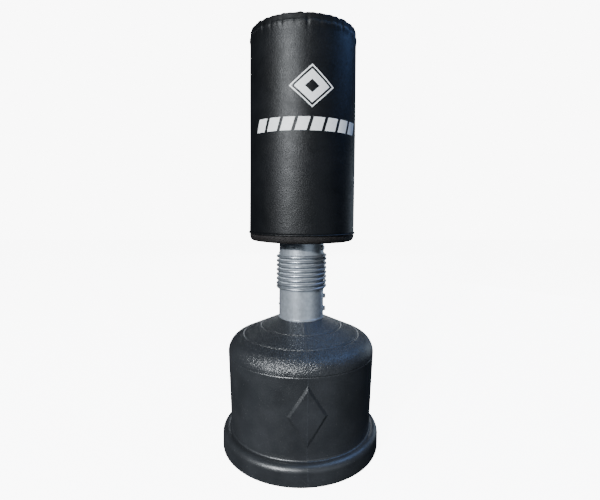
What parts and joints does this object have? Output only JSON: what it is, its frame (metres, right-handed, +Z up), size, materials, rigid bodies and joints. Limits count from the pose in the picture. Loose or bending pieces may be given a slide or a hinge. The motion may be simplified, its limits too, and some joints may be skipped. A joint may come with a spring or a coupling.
{
  "type": "free-standing punch bag",
  "caption": "Free-standing punch bag: padded cylinder on a steel tube and coil-spring neck, over a round fillable plastic base with a raised diamond.",
  "frame": {"origin": "on the floor, on the axis of the base", "axes": "+Z up along the axis of the neck and bag; the front with the raised diamond faces -Y, the filler cap is towards +Y"},
  "size_m": [0.61, 0.61, 1.6],
  "materials": {
    "tank_black": "satin",
    "cap_black": "matte",
    "water": "gloss",
    "seal_rubber": "matte",
    "silver_paint": "satin",
    "sleeve_grey": "satin",
    "spring_paint": "gloss",
    "zinc": "satin",
    "pipe_grey": "satin",
    "plywood": "matte",
    "foam_grey": "matte",
    "cover_black": "satin",
    "hem_black": "satin",
    "print_white": "satin",
    "thread_black": "matte"
  },
  "bodies": {
    "base": {"base_tank": "tank_black", "tank_shoulder": "tank_black", "fill_neck": "cap_black", "ballast_water": "water", "lower_tube": "silver_paint", "lower_stop_ring": "silver_paint", "neck_bolts": "zinc", "neck_washers": "zinc", "neck_nuts": "zinc", "side_screws": "zinc"},
    "gasket": {"cap_gasket": "seal_rubber"},
    "cap": {"fill_cap": "cap_black"},
    "spring": {"spring_coil": "spring_paint", "neck_sleeve": "sleeve_grey"},
    "bag": {"upper_tube": "silver_paint", "upper_stop_ring": "silver_paint", "upper_bolts": "zinc", "upper_washers": "zinc", "upper_nuts": "zinc", "core_tube": "pipe_grey", "core_cap": "pipe_grey", "board_flange": "silver_paint", "board_screws": "zinc", "bottom_board": "plywood", "top_board": "plywood", "foam_sleeve": "foam_grey", "foam_top_pad": "foam_grey", "cover_top": "cover_black", "cover_side": "cover_black", "hem_band": "hem_black", "piping": "cover_black", "cover_bottom": "cover_black"}
  },
  "joints": [
    {"name": "tilt_fore_aft", "type": "hinge", "parent": "base", "child": "spring", "pos_m": [0, 0, 0.679], "axis": [1, 0, 0], "range_deg": [-15, 15], "stiffness_Nm_per_rad": 900, "deforming": ["spring_coil", "neck_sleeve"]},
    {"name": "tilt_sideways", "type": "hinge", "parent": "spring", "child": "bag", "pos_m": [0, 0, 0.679], "axis": [0, 1, 0], "range_deg": [-15, 15], "stiffness_Nm_per_rad": 900, "deforming": ["spring_coil", "neck_sleeve"]},
    {"name": "cap_turn", "type": "hinge", "parent": "gasket", "child": "cap", "pos_m": [0, 0.18739, 0.47127], "axis": [0, 0.4107, 0.9118], "range_deg": [0, 1080]},
    {"name": "cap_lift", "type": "slide", "parent": "base", "child": "gasket", "axis": [0, 0.4107, 0.9118], "range_m": [0, 0.012]}
  ],
  "couplings": [
    {"joint": "cap_turn", "follows": "cap_lift", "rad_per_m": 1570.8}
  ]
}
